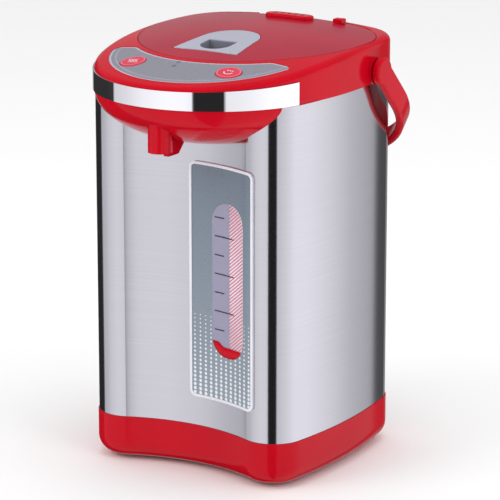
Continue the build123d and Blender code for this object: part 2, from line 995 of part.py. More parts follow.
with BuildPart() as level_tube:
    add(ring(tube_x, tube_y, tube_bottom, tube_top, tube_radius, tube_radius - tube_wall))
    add(
        ring(
            tube_x, tube_y, float_bottom - fit - tube_wall, float_bottom - fit,
            tube_radius - tube_wall, float_radius - tube_wall,
        )
    )
save(level_tube, "level_tube")

with BuildPart() as level_float:
    add(ring(tube_x, tube_y, float_bottom, float_bottom + float_height, float_radius))
    fillet(level_float.edges().filter_by(GeomType.CIRCLE).group_by(Axis.Z)[-1], tube_wall)
save(level_float, "level_float")

with BuildPart() as tube_sockets:
    sleeve_inner = tube_radius + fit
    lower_end = tube_bottom - sleeve_length / 2
    add(
        ring(
            tube_x, tube_y, lower_end, lower_end + sleeve_length,
            sleeve_inner + sleeve_wall, sleeve_inner,
        )
    )
    upper_end = tube_top - sleeve_length / 2
    add(
        ring(
            tube_x, tube_y, upper_end, upper_end + sleeve_length, sleeve_inner + sleeve_wall,
            outlet_radius + fit,
        )
    )
    add(ring(tube_x, tube_y, upper_end, tube_top + fit, sleeve_inner), mode=Mode.SUBTRACT)
save(tube_sockets, "tube_sockets")

with BuildPart() as outlet_hose:
    add(
        hose(
            (
                (tube_x, tube_y, tube_top + gap),
                (tube_x, tube_y, outlet_level),
                (0, spout_y, outlet_level),
                (0, spout_y, spout_shoulder),
            ),
            outlet_bend,
            outlet_radius,
            outlet_radius - tube_wall,
        )
    )
save(outlet_hose, "outlet_hose")

# --- collar with its hood, lid well, hinge bay and handle bosses ---
with BuildPart() as collar_hull:
    add(under_dome(slab(collar_outline(collar_proud), body_top, sky)))
    rim = collar_hull.faces().sort_by(Axis.Z)[-1].edges()
    fillet(rim, top_fillet)



def under_hull(solid):
    """What lies of a solid within the collar's rounded outer form."""
    with BuildPart() as piece:
        add(solid)
        add(collar_hull.part, mode=Mode.INTERSECT)
    return piece.part


with BuildPart() as collar_cavity:
    add(under_dome(slab(collar_outline(collar_proud - moulding_wall), body_top, sky), moulding_wall))

with BuildPart() as collar:
    add(collar_hull.part)
    add(collar_cavity.part, mode=Mode.SUBTRACT)
    # the lip that centres the body shell, left out under the hood
    add(slab(outline(-lip_inset), body_top - lip_height, body_top + lip_height))
    add(
        slab(outline(-lip_inset - lip_thickness), body_top - lip_height, body_top + lip_height),
        mode=Mode.SUBTRACT,
    )
    add(
        block(
            -corner_centre_x, corner_centre_x, -back_y, pot_y, body_top - lip_height,
            body_top + lip_height,
        ),
        mode=Mode.SUBTRACT,
    )
    # handle bosses
    for side in (-1, 1):
        inner_end, outer_end = sorted((side * boss_back, side * (handle_inner - gap)))
        add(cross_bar(inner_end, outer_end, pivot_y, pivot_z, boss_inner_radius))
        inner_end, outer_end = sorted((side * (boss_face - reach_past), side * boss_face))
        add(cross_bar(inner_end, outer_end, pivot_y, pivot_z, boss_outer_radius))
        add(
            block(
                inner_end - reach_past, outer_end + reach_past, pivot_y - boss_outer_radius,
                pivot_y + boss_outer_radius, body_top - boss_outer_radius, body_top,
            ),
            mode=Mode.SUBTRACT,
        )
    # lid well, mouth and neck
    add(under_hull(slab(lid_outline(gap + well_wall), well_floor_bottom, sky)))
    add(slab(lid_outline(gap), well_floor_top, sky), mode=Mode.SUBTRACT)
    add(ring(0, pot_y, neck_bottom, well_floor_top, mouth_radius + neck_wall))
    add(ring(0, pot_y, neck_bottom, well_floor_top, mouth_radius), mode=Mode.SUBTRACT)
    # hinge bay at the rear
    bay_wall = bay_half_width + moulding_wall
    bay_bottom = bay_floor - moulding_wall
    back_face = back_y + collar_proud
    add(under_hull(block(-bay_wall, bay_wall, lid_rear_y + gap, back_face - fit, bay_bottom, sky)))
    add(
        block(-bay_half_width, bay_half_width, bay_front_y, back_face + gap, bay_floor, sky),
        mode=Mode.SUBTRACT,
    )
    # rebate that the lid's rear edge passes through as it opens
    with BuildPart(mode=Mode.PRIVATE) as rebate:
        add(slab(lid_outline(gap + hinge_relief), hinge_z + hinge_relief, sky))
        add(
            block(-body_half_width, body_half_width, -back_y, rebate_front_y, body_top, sky),
            mode=Mode.SUBTRACT,
        )
    add(rebate.part, mode=Mode.SUBTRACT)
    knuckle_spans = (
        (-outer_knuckle[1], -outer_knuckle[0]),
        (-middle_knuckle, middle_knuckle),
        outer_knuckle,
    )
    for left, right in knuckle_spans:
        add(cross_bar(left, right, hinge_y, hinge_z, knuckle_radius))
        add(
            block(
                left, right, hinge_y - knuckle_radius / 2, hinge_y + knuckle_radius / 2,
                bay_bottom, hinge_z,
            )
        )
    add(
        cross_bar(-outer_knuckle[1], outer_knuckle[1], hinge_y, hinge_z, hinge_pin_radius + fit),
        mode=Mode.SUBTRACT,
    )
    # bores for the handle pivots
    for side in (-1, 1):
        inner_end, outer_end = sorted((side * (boss_back + lip_height), side * (handle_inner + gap)))
        add(
            cross_bar(inner_end, outer_end, pivot_y, pivot_z, pivot_radius + fit),
            mode=Mode.SUBTRACT,
        )
    # chrome band's groove, control panel's recess and the holes through the deck
    add(band_form(groove_radius, groove_radius + 2 * moulding_wall), mode=Mode.SUBTRACT)
    panel_depth = panel_recess + panel_thickness
    add(
        above_dome(slab(panel_outline(fit), button_bottom, sky), panel_depth), mode=Mode.SUBTRACT
    )
    for x in button_places.values():
        add(
            ring(x, button_y, button_bottom, sky, button_radius + button_gap), mode=Mode.SUBTRACT
        )
    for x, y in led_places:
        add(ring(x, y, button_bottom, sky, led_radius + fit), mode=Mode.SUBTRACT)
    # posts for the control board
    board_top = board_bottom + board_thickness
    for x, y in post_places:
        add(under_dome(ring(x, y, board_top, sky, post_radius), panel_depth + gap))
        add(
            ring(x, y, board_top, board_top + post_screw_depth, post_screw_radius + fit),
            mode=Mode.SUBTRACT,
        )
    # slot in the well's front wall where the latch bolt is caught
    add(
        block(
            -bolt_half - gap, bolt_half + gap, lid_front_y - gap - well_wall - fit, lid_front_y,
            bolt_bottom - gap, bolt_top + gap,
        ),
        mode=Mode.SUBTRACT,
    )
save(collar, "collar")

with BuildPart() as chin:
    add(bowl())
    add(bowl(-moulding_wall), mode=Mode.SUBTRACT)
    add(slab(outline(), body_bottom, sky), mode=Mode.SUBTRACT)
    add(
        block(-side_radius, side_radius, band_end_y - lip_height, side_radius, body_bottom, sky),
        mode=Mode.SUBTRACT,
    )
    add(ring(0, spout_y, spout_bottom, body_top, spout_radius + fit), mode=Mode.SUBTRACT)
save(chin, "chin")

with BuildPart() as spout_nozzle:
    add(ring(0, spout_y, spout_bottom, spout_shoulder, spout_radius))
    add(ring(0, spout_y, spout_shoulder, spout_top, spout_radius - spout_wall))
    with BuildSketch(Plane.YZ.offset(-rib_thickness / 2)):
        with BuildLine():
            rib_front_y = spout_y + spout_radius - spout_wall / 2
            Polyline(
                (rib_front_y, spout_bottom + reach_past),
                (rib_front_y, rib_tip_z),
                (rib_tip_y, rib_tip_z),
                (rib_root_y, rib_root_z),
                (rib_root_y, body_top),
                (rib_front_y, body_top),
                close=True,
            )
        make_face()
    extrude(amount=rib_thickness)
    add(bowl(fit), mode=Mode.SUBTRACT)
    add(ring(0, spout_y, spout_bottom, spout_shoulder, spout_radius))
    add(ring(0, spout_y, spout_shoulder, spout_top, spout_radius - spout_wall))
    add(
        ring(0, spout_y, spout_bottom, spout_shoulder - spout_wall, spout_radius - spout_wall),
        mode=Mode.SUBTRACT,
    )
    add(ring(0, spout_y, spout_bottom, spout_top, outlet_radius + fit), mode=Mode.SUBTRACT)
save(spout_nozzle, "spout_nozzle")

with BuildPart() as chrome_band:
    add(band_form(groove_radius + fit, hood_radius + collar_proud + band_proud, fit))
save(chrome_band, "chrome_band")

with BuildPart() as fascia:
    add(
        above_dome(
            under_dome(slab(panel_outline(), button_bottom, sky), panel_recess), panel_depth
        )
    )
    for x in button_places.values():
        add(
            ring(x, button_y, button_bottom, sky, button_radius + button_gap), mode=Mode.SUBTRACT
        )
    for x, y in led_places:
        add(ring(x, y, button_bottom, sky, led_radius + fit), mode=Mode.SUBTRACT)
save(fascia, "fascia")

with BuildPart() as led_lenses:
    for x, y in led_places:
        add(under_dome(ring(x, y, board_top, sky, led_radius), panel_recess - button_proud))
save(led_lenses, "led_lenses")

with BuildPart() as control_pcb:
    with BuildSketch(Plane.XY.offset(board_bottom)):
        with BuildLine():
            Polyline(
                (-board_half, board_rear_y),
                (board_half, board_rear_y),
                (board_half, board_side_y),
                (board_front_half, board_front_y),
                (-board_front_half, board_front_y),
                (-board_half, board_side_y),
                close=True,
            )
        make_face()
        with Locations(post_places):
            Circle(post_screw_radius + fit, mode=Mode.SUBTRACT)
    extrude(amount=board_thickness)
save(control_pcb, "control_pcb")

with BuildPart() as board_screws:
    for x, y in post_places:
        add(ring(x, y, board_bottom - post_screw_radius, board_bottom, 2 * post_screw_radius))
        add(ring(x, y, board_bottom, board_top + post_screw_depth - gap, post_screw_radius))
save(board_screws, "board_screws")

with BuildPart() as micro_switches:
    for x in button_places.values():
        half = switch_width / 2
        switch_top = board_top + switch_height
        add(block(x - half, x + half, button_y - half, button_y + half, board_top, switch_top))
        add(ring(x, button_y, switch_top, switch_top + plunger_height, half / 2))
save(micro_switches, "micro_switches")


def push_button(x):
    """Round button that follows the dome, with a flange that stays under the deck."""
    with BuildPart() as piece:
        add(under_dome(ring(x, button_y, button_bottom, sky, button_radius), -button_proud))
        rim = piece.edges().filter_by(GeomType.LINE, reverse=True).sort_by(Axis.Z)[-1]
        fillet(rim, button_travel / 2)
        flange_top = button_bottom + button_flange
        add(ring(x, button_y, button_bottom, flange_top, button_radius + 2 * gap))
    return piece


for name, x in button_places.items():
    save(push_button(x), name)

# --- lid ---
pivot_level = dome_level(0, lever_pivot_y, lever_pivot_drop)
inner_skirt = -lid_skirt_inset - moulding_wall
with BuildPart() as lid_top:
    add(above_dome(under_dome(slab(lid_outline(), lid_skirt_bottom, sky)), lid_lip_height))
    add(under_dome(slab(lid_outline(-lid_skirt_inset), lid_skirt_bottom, sky), shell_wall))
    add(
        under_dome(slab(lid_outline(inner_skirt), lid_skirt_bottom, sky), moulding_wall),
        mode=Mode.SUBTRACT,
    )
    add(collar_hull.part, mode=Mode.INTERSECT)
    # screw bosses
    for x, y in lid_screw_places:
        add(under_dome(ring(x, y, cover_top, sky, lid_boss_radius), shell_wall))
        add(
            ring(x, y, cover_top, cover_top + lip_height, lid_screw_radius + fit),
            mode=Mode.SUBTRACT,
        )
    # latch pocket with the holes for its pin, the lever's arm and the bolt
    pocket = slab(lever_outline(gap + pocket_wall, gap), pocket_floor - pocket_wall, sky)
    add(under_dome(pocket, shell_wall))
    add(slab(lever_outline(gap, gap), pocket_floor, sky), mode=Mode.SUBTRACT)
    pin_half = lever_front_half + gap + pocket_wall - fit
    add(
        cross_bar(-pin_half, pin_half, lever_pivot_y, pivot_level, lever_pin_radius + fit),
        mode=Mode.SUBTRACT,
    )
    add(
        block(
            -arm_half - gap, arm_half + gap, lever_pivot_y - arm_thickness,
            lever_pivot_y + arm_thickness + bolt_travel, pocket_floor - pocket_wall - fit,
            pocket_floor + fit,
        ),
        mode=Mode.SUBTRACT,
    )
    add(
        block(
            -bolt_half - gap / 2, bolt_half + gap / 2, lid_front_y, lid_front_y + 3 * moulding_wall,
            bolt_bottom - gap / 2, bolt_top + gap / 2,
        ),
        mode=Mode.SUBTRACT,
    )
    # hinge knuckles on their arms
    for side in (-1, 1):
        left, right = sorted(
            (side * (middle_knuckle + knuckle_gap), side * (outer_knuckle[0] - knuckle_gap))
        )
        add(cross_bar(left, right, hinge_y, hinge_z, knuckle_radius))
        add(
            block(
                left, right, lid_rear_y - lid_skirt_inset - moulding_wall, hinge_y,
                hinge_z - fit, hinge_z + arm_height,
            )
        )
    add(
        cross_bar(-outer_knuckle[0], outer_knuckle[0], hinge_y, hinge_z, hinge_pin_radius + fit),
        mode=Mode.SUBTRACT,
    )
    # openings for the steam vent and the release tab's stem
    with BuildSketch(Plane.XY.offset(cover_top)):
        with Locations((vent_x, vent_y)):
            SlotOverall(vent_length - 4 * shell_wall, vent_width - 4 * shell_wall)
    extrude(amount=sky - cover_top, mode=Mode.SUBTRACT)
    stem_y = (tab_front_y + tab_rear_y) / 2 - moulding_wall
    stem_x = (tab_left + tab_right) / 2
    add(
        block(
            stem_x - tab_stem / 2 - gap, stem_x + tab_stem / 2 + gap + tab_travel,
            stem_y - tab_stem / 4 - gap / 2, stem_y + tab_stem / 4 + gap / 2, cover_top, sky,
        ),
        mode=Mode.SUBTRACT,
    )
save(lid_top, "lid_top")

with BuildPart() as lid_inner_cover:
    add(slab(lid_outline(inner_skirt - fit), lid_skirt_bottom, cover_top))
    add(ring(0, pot_y, plug_bottom, lid_skirt_bottom, plug_radius))
    add(
        ring(0, pot_y, plug_bottom + cover_thickness, cover_top, plug_radius - cover_thickness),
        mode=Mode.SUBTRACT,
    )
    for x, y in lid_screw_places:
        add(ring(x, y, lid_skirt_bottom, cover_top, lid_screw_radius + fit), mode=Mode.SUBTRACT)
        add(
            ring(x, y, lid_skirt_bottom, lid_skirt_bottom + shell_wall, lid_screw_head + fit),
            mode=Mode.SUBTRACT,
        )
    for side in (-1, 1):
        left, right = sorted((side * (bolt_half + gap / 2), side * (bolt_half + moulding_wall)))
        add(
            block(
                left, right, lid_front_y + 3 * moulding_wall, lever_pivot_y - arm_thickness,
                cover_top, bolt_top,
            )
        )
    add(
        ring(vent_x, valve_y, plug_bottom, cover_top, valve_radius - valve_wall),
        mode=Mode.SUBTRACT,
    )
save(lid_inner_cover, "lid_inner_cover")

with BuildPart() as lid_gasket:
    gasket_outer = plug_radius + gasket_width
    add(
        ring(0, pot_y, gasket_bottom, gasket_bottom + gasket_height, gasket_outer, plug_radius)
    )
    fillet(lid_gasket.edges().group_by(SortBy.LENGTH)[-1], gasket_height / 3)
save(lid_gasket, "lid_gasket")

with BuildPart() as lid_screws:
    for x, y in lid_screw_places:
        head_bottom = lid_skirt_bottom + fit
        head_top = lid_skirt_bottom + shell_wall
        add(ring(x, y, head_bottom, head_top, lid_screw_head))
        add(ring(x, y, head_top, cover_top + lip_height - gap, lid_screw_radius))
save(lid_screws, "lid_screws")

with BuildPart() as vent_cap:
    with BuildSketch(Plane.XY.offset(cover_top)):
        with Locations((vent_x, vent_y)):
            SlotOverall(vent_length, vent_width)
    extrude(amount=sky - cover_top)
    with Locations((0, dome_y, dome_top - dome_radius)):
        Sphere(dome_radius + vent_proud, mode=Mode.INTERSECT)
    fillet(vent_cap.faces().sort_by(Axis.Z)[-1].edges(), vent_proud / 2)
    with Locations((0, dome_y, dome_top - dome_radius)):
        Sphere(dome_radius, mode=Mode.SUBTRACT)
    with BuildSketch(Plane.XY.offset(cover_top)):
        with Locations((vent_x, vent_y)):
            SlotOverall(vent_length - 4 * shell_wall, vent_width - 4 * shell_wall)
    extrude(amount=dome_top + vent_proud - shell_wall - cover_top, mode=Mode.SUBTRACT)
    with BuildSketch(Plane.XY.offset(dome_top - reach_past)):
        with Locations((vent_x, vent_y)):
            with GridLocations(vent_length / (vent_slots + 2), 0, vent_slots, 1):
                SlotOverall(vent_width / 2, vent_proud / 2, rotation=90)
    extrude(amount=3 * reach_past, mode=Mode.SUBTRACT)
save(vent_cap, "vent_cap")

with BuildPart() as vent_valve:
    valve_top = dome_level(vent_x, valve_y, moulding_wall) - moulding_wall
    valve_bottom = plug_bottom + cover_thickness
    add(
        ring(
            vent_x, valve_y, valve_bottom, valve_top, valve_radius - shell_wall,
            valve_radius - valve_wall,
        )
    )
save(vent_valve, "vent_valve")

with BuildPart() as release_tab:
    tab_profile = block(tab_left, tab_right, tab_front_y, tab_rear_y, cover_top, tab_top)
    add(above_dome(tab_profile, -gap / 2))
    fillet(release_tab.faces().sort_by(Axis.Z)[-1].edges(), shell_wall)
    stem_bottom = dome_level(stem_x, stem_y, moulding_wall) - moulding_wall
    add(
        block(
            stem_x - tab_stem / 2, stem_x + tab_stem / 2, stem_y - tab_stem / 4,
            stem_y + tab_stem / 4, stem_bottom, dome_top + shell_wall,
        )
    )
    add(
        block(
            stem_x - tab_stem, stem_x + tab_stem / 2, stem_y - tab_stem / 2,
            stem_y + tab_stem / 2, stem_bottom - moulding_wall, stem_bottom,
        )
    )
save(release_tab, "release_tab")

with BuildPart() as latch_lever:
    add(above_dome(under_dome(slab(lever_outline(), pocket_floor, sky)), lever_plate))
    cup = slab(cup_outline(finger_cup_wall), finger_cup_floor - finger_cup_wall, sky)
    add(under_dome(cup))
    add(slab(cup_outline(), finger_cup_floor, sky), mode=Mode.SUBTRACT)
    add(cross_bar(-barrel_half, barrel_half, lever_pivot_y, pivot_level, barrel_radius))
    add(
        cross_bar(
            -lever_front_half, lever_front_half, lever_pivot_y, pivot_level, lever_pin_radius + fit
        ),
        mode=Mode.SUBTRACT,
    )
    arm_bottom = bolt_bottom + gap
    add(
        block(
            -arm_half, arm_half, lever_pivot_y - arm_thickness / 2,
            lever_pivot_y + arm_thickness / 2, arm_bottom, pivot_level - lever_pin_radius - fit,
        )
    )
save(latch_lever, "latch_lever")

with BuildPart() as latch_pin:
    add(
        cross_bar(
            fit - pin_half, pin_half - fit, lever_pivot_y, pivot_level, lever_pin_radius
        )
    )
save(latch_pin, "latch_pin")

with BuildPart() as latch_bolt:
    nose_y = lid_front_y + lid_skirt_inset - bolt_nose
    add(block(-bolt_half, bolt_half, nose_y, bolt_rear_y, bolt_bottom, bolt_top))
    fillet(latch_bolt.edges().filter_by(Axis.X).group_by(Axis.Y)[0].sort_by(Axis.Z)[0], gap)
    add(
        block(
            -arm_half - gap, arm_half + gap, lever_pivot_y - arm_thickness / 2 - 1.5 * gap,
            lever_pivot_y + arm_thickness / 2 + 1.5 * gap, bolt_bottom, bolt_top,
        ),
        mode=Mode.SUBTRACT,
    )
save(latch_bolt, "latch_bolt")

with BuildPart() as hinge_pin:
    add(cross_bar(-outer_knuckle[1], outer_knuckle[1], hinge_y, hinge_z, hinge_pin_radius))
save(hinge_pin, "hinge_pin")

# --- handle: a strap bent round the rear, hinged on the collar's bosses ---
rest = radians(handle_rest_angle)
handle_plane = Plane(
    origin=(0, pivot_y, pivot_z), x_dir=(1, 0, 0), z_dir=(0, sin(rest), cos(rest))
)


def strap(half_width, reach):
    """Plan of the space inside a strap that runs straight and then round half an ellipse."""
    with BuildSketch() as sketch:
        with BuildLine():
            Line((-half_width, handle_straight), (half_width, handle_straight))
            EllipticalCenterArc(
                (0, handle_straight),
                half_width,
                reach - handle_straight,
                start_angle=0,
                arc_size=180,
            )
        make_face()
        with Locations((0, handle_straight / 2)):
            Rectangle(2 * half_width, handle_straight)
    return sketch.sketch


with BuildPart() as handle_bail:
    with BuildSketch(handle_plane.offset(-handle_width / 2)):
        add(strap(handle_outer, handle_reach + handle_thickness / 2))
        add(strap(handle_inner, handle_reach - handle_thickness / 2), mode=Mode.SUBTRACT)
    extrude(amount=handle_width)
    for side in (-1, 1):
        left, right = sorted((side * handle_inner, side * handle_outer))
        add(cross_bar(left, right, pivot_y, pivot_z, boss_outer_radius))
    long_edges = handle_bail.edges().filter_by(lambda edge: edge.length > handle_straight / 2)
    fillet(long_edges, handle_fillet)
    for side in (-1, 1):
        left, right = sorted((side * (handle_inner - gap), side * (handle_outer + gap)))
        add(
            cross_bar(left, right, pivot_y, pivot_z, pivot_radius + fit), mode=Mode.SUBTRACT
        )
        left, right = sorted((side * (handle_outer - cap_recess), side * (handle_outer + gap)))
        add(cross_bar(left, right, pivot_y, pivot_z, cap_radius), mode=Mode.SUBTRACT)
save(handle_bail, "handle_bail")

with BuildPart() as handle_caps:
    for side in (-1, 1):
        left, right = sorted((side * (handle_outer - cap_thickness), side * handle_outer))
        add(cross_bar(left, right, pivot_y, pivot_z, cap_radius))
save(handle_caps, "handle_caps")

with BuildPart() as handle_pivots:
    for side in (-1, 1):
        head_start = handle_outer - cap_recess + hub_gap
        left, right = sorted((side * (boss_back + lip_height + fit), side * head_start))
        add(cross_bar(left, right, pivot_y, pivot_z, pivot_radius))
        left, right = sorted((side * head_start, side * (head_start + pivot_head_thickness)))
        add(cross_bar(left, right, pivot_y, pivot_z, pivot_head_radius))
save(handle_pivots, "handle_pivots")

# --- supply board and appliance inlet ---
with BuildPart() as power_pcb:
    board = (supply_left, supply_right, supply_front_y, supply_rear_y)
    supply_top = supply_level + supply_thickness
    middle_x = (supply_left + supply_right) / 2
    add(block(*board, supply_level, supply_top))
    core_rear_y = supply_rear_y - transformer_margin
    add(
        block(
            middle_x - transformer_width / 2, middle_x + transformer_width / 2,
            core_rear_y - transformer_width, core_rear_y, supply_top,
            supply_top + transformer_height,
        )
    )
    for index in range(capacitor_count):
        y = supply_front_y + 2 * capacitor_radius + capacitor_pitch * index
        add(
            ring(
                middle_x + capacitor_row, y, supply_top, supply_top + capacitor_height,
                capacitor_radius,
            )
        )
save(power_pcb, "power_pcb")

socket_front = back_y - inlet_depth
with BuildPart() as inlet_pins:
    for column in (-1, 0, 1):
        x = column * inlet_pin_pitch
        z = inlet_z + (inlet_pin_rise if column == 0 else 0)
        pin_front = socket_front - inlet_pin_tail
        pin_rear = socket_front + 2 * inlet_wall + inlet_pin_length
        half = inlet_pin_thickness / 2
        add(
            block(
                x - half, x + half, pin_front, pin_rear, z - inlet_pin_width / 2,
                z + inlet_pin_width / 2,
            )
        )
save(inlet_pins, "inlet_pins")

with BuildPart() as inlet_socket:
    flange_rear = back_y + inlet_flange_thickness
    add(rear_prism(inlet_width, inlet_height, inlet_corner, socket_front, flange_rear))
    add(
        rear_prism(
            inlet_width + 2 * inlet_flange,
            inlet_height + 2 * inlet_flange,
            inlet_corner,
            back_y,
            flange_rear,
        )
    )
    add(
        rear_prism(
            inlet_width - 2 * inlet_wall,
            inlet_height - 2 * inlet_wall,
            inlet_corner - inlet_wall,
            socket_front + 2 * inlet_wall,
            flange_rear,
        ),
        mode=Mode.SUBTRACT,
    )
    add(inlet_pins.part, mode=Mode.SUBTRACT)
save(inlet_socket, "inlet_socket")
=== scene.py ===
import json
import math

import bmesh
import bpy
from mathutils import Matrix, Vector


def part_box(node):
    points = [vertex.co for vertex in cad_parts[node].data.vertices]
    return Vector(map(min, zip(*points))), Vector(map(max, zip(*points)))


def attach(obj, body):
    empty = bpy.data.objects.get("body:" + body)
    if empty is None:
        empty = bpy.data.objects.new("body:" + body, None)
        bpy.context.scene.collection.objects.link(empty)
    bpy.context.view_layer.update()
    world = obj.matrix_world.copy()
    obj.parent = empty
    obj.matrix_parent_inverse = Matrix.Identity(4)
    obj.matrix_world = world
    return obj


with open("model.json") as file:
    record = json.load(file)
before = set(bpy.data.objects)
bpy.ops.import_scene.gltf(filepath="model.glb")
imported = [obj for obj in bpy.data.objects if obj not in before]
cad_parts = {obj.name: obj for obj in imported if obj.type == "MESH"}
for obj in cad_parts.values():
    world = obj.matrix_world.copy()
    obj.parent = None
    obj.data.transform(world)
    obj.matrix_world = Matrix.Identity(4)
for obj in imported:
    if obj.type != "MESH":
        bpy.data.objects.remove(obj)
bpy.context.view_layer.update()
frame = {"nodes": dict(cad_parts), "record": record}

NODES = frame["nodes"]
SCENE = bpy.context.scene
SCENE.view_settings.view_transform = "Standard"
MM = 0.001


# ---------------------------------------------------------------- shader helpers
class Shader:
    """A node material: a Principled shader with short calls to feed it.

    An input is called by its name, or by i and its number where names repeat.
    """

    def __init__(self, name, **sockets):
        self.mat = bpy.data.materials.new(name)
        self.mat.use_nodes = True
        self.tree = self.mat.node_tree
        self.bsdf = self.tree.nodes["Principled BSDF"]
        for socket, value in sockets.items():
            self.bsdf.inputs[socket.replace("_", " ")].default_value = value

    def node(self, kind, **inputs):
        made = self.tree.nodes.new(kind)
        for key, value in inputs.items():
            self.feed(made, key, value)
        return made

    def feed(self, node, key, value):
        socket = node.inputs[int(key[1:])] if key[0] == "i" and key[1:].isdigit() else node.inputs[key]
        if isinstance(value, bpy.types.NodeSocket):
            self.tree.links.new(value, socket)
        else:
            socket.default_value = value

    def place(self, scale=(1, 1, 1), rotation=(0, 0, 0)):
        """Coordinates fixed to the object, in metres times scale."""
        coords = self.node("ShaderNodeTexCoord").outputs["Object"]
        mapping = self.node("ShaderNodeMapping", Vector=coords)
        mapping.inputs["Scale"].default_value = scale
        mapping.inputs["Rotation"].default_value = rotation
        return mapping.outputs["Vector"]

    def noise(self, place, scale, detail=3.0, rough=0.5):
        made = self.node("ShaderNodeTexNoise", Vector=place, Scale=scale, Detail=detail)
        made.inputs["Roughness"].default_value = rough
        return made.outputs["Fac"]

    def math(self, operation, *values):
        made = self.node("ShaderNodeMath")
        made.operation = operation
        for index, value in enumerate(values):
            self.feed(made, f"i{index}", value)
        return made.outputs[0]

    def remap(self, value, low, high, to_low, to_high):
        made = self.node("ShaderNodeMapRange", Value=value)
        for index, number in zip((1, 2, 3, 4), (low, high, to_low, to_high)):
            made.inputs[index].default_value = number
        return made.outputs["Result"]

    def mix(self, factor, first, second):
        made = self.node("ShaderNodeMix")
        made.data_type = "RGBA"
        self.feed(made, "i0", factor)
        self.feed(made, "i6", first)
        self.feed(made, "i7", second)
        return made.outputs[2]

    def vary(self, noise, first, second):
        """A colour that wanders between two with a noise."""
        return self.mix(self.remap(noise, 0.3, 0.7, 0.0, 1.0), first, second)

    def bump(self, height, strength, distance):
        made = self.node("ShaderNodeBump", Height=height)
        made.inputs["Strength"].default_value = strength
        made.inputs["Distance"].default_value = distance
        return made.outputs["Normal"]

    def set(self, socket, value):
        self.feed(self.bsdf, socket, value)

    def spot(self):
        """X, Y and Z of the shaded point in the object's frame, in metres."""
        coords = self.node("ShaderNodeTexCoord").outputs["Object"]
        return self.node("ShaderNodeSeparateXYZ", Vector=coords).outputs

    def length(self, first, second):
        squares = self.math("ADD", self.math("POWER", first, 2.0), self.math("POWER", second, 2.0))
        return self.math("SQRT", squares)

    def between(self, value, low, high):
        """One where value lies between two limits, else nought."""
        above = self.math("GREATER_THAN", value, low)
        return self.math("MULTIPLY", above, self.math("LESS_THAN", value, high))


def rgb(code):
    """Linear colour of a hex code."""
    parts = [int(code[i:i + 2], 16) / 255 for i in (1, 3, 5)]
    linear = [p / 12.92 if p <= 0.04045 else ((p + 0.055) / 1.055) ** 2.4 for p in parts]
    return (*linear, 1.0)


def toned(color, factor):
    """A colour made darker or lighter by a factor."""
    return (*(part * factor for part in color[:3]), 1.0)


# ---------------------------------------------------------------- materials
def moulded_plastic(name, color, dark, roughness, coat=0.0, peel=0.05, gloss=0.5):
    """Injection-moulded plastic: a faint flow in the colour and a fine orange peel."""
    s = Shader(name, IOR=1.5, Coat_Weight=coat, Coat_Roughness=0.04, Specular_IOR_Level=gloss)
    place = s.place()
    flow = s.noise(place, 14.0, 2.0)
    s.set("Base Color", s.vary(flow, color, dark))
    fine = s.noise(place, 900.0, 2.0)
    s.set("Roughness", s.remap(fine, 0.2, 0.8, roughness * 0.9, roughness * 1.15))
    peel_height = s.noise(place, 260.0, 1.0)
    s.set("Normal", s.bump(peel_height, peel, 0.0004))
    return s.mat


def brushed_steel(name, color, roughness, anisotropy):
    """Steel with hairlines that run round the body."""
    s = Shader(name, Metallic=1.0, Anisotropic=anisotropy)
    lines = s.noise(s.place((6.0, 6.0, 2600.0)), 1.0, 4.0, 0.7)
    cloud = s.noise(s.place((1, 1, 1)), 9.0, 2.0)
    shade = s.mix(s.remap(cloud, 0.35, 0.65, 0.0, 1.0), color, toned(color, 0.965))
    s.set("Base Color", s.vary(lines, shade, toned(color, 0.93)))
    s.set("Roughness", s.remap(lines, 0.25, 0.75, roughness * 0.85, roughness * 1.2))
    s.set("Normal", s.bump(lines, 0.05, 0.00004))
    tangent = s.node("ShaderNodeTangent")
    tangent.direction_type = "RADIAL"
    tangent.axis = "Z"
    s.set("Tangent", tangent.outputs[0])
    return s.mat


def plain_metal(name, color, roughness, grain=30.0):
    """Drawn or plated metal with a faint change of tone and polish."""
    s = Shader(name, Metallic=1.0)
    wear = s.noise(s.place(), grain, 3.0)
    s.set("Base Color", s.vary(wear, color, toned(color, 0.94)))
    s.set("Roughness", s.remap(wear, 0.3, 0.7, roughness * 0.96, roughness * 1.05))
    return s.mat


def rubber(name, color, roughness=0.7):
    """Matt rubber with a fine speckle."""
    s = Shader(name, IOR=1.45)
    speck = s.noise(s.place(), 1400.0, 2.0)
    s.set("Base Color", s.vary(speck, color, toned(color, 1.3)))
    s.set("Roughness", s.remap(speck, 0.3, 0.7, roughness * 0.9, min(1.0, roughness * 1.15)))
    s.set("Normal", s.bump(speck, 0.15, 0.0002))
    return s.mat


def clear_plastic(name, tint, roughness, weight):
    """Clear plastic that lets through a share of the light, with a faint haze."""
    s = Shader(name, IOR=1.46, Transmission_Weight=weight)
    haze = s.noise(s.place(), 60.0, 2.0)
    s.set("Base Color", s.vary(haze, tint, toned(tint, 0.97)))
    s.set("Roughness", s.remap(haze, 0.3, 0.7, roughness, roughness * 1.6))
    return s.mat


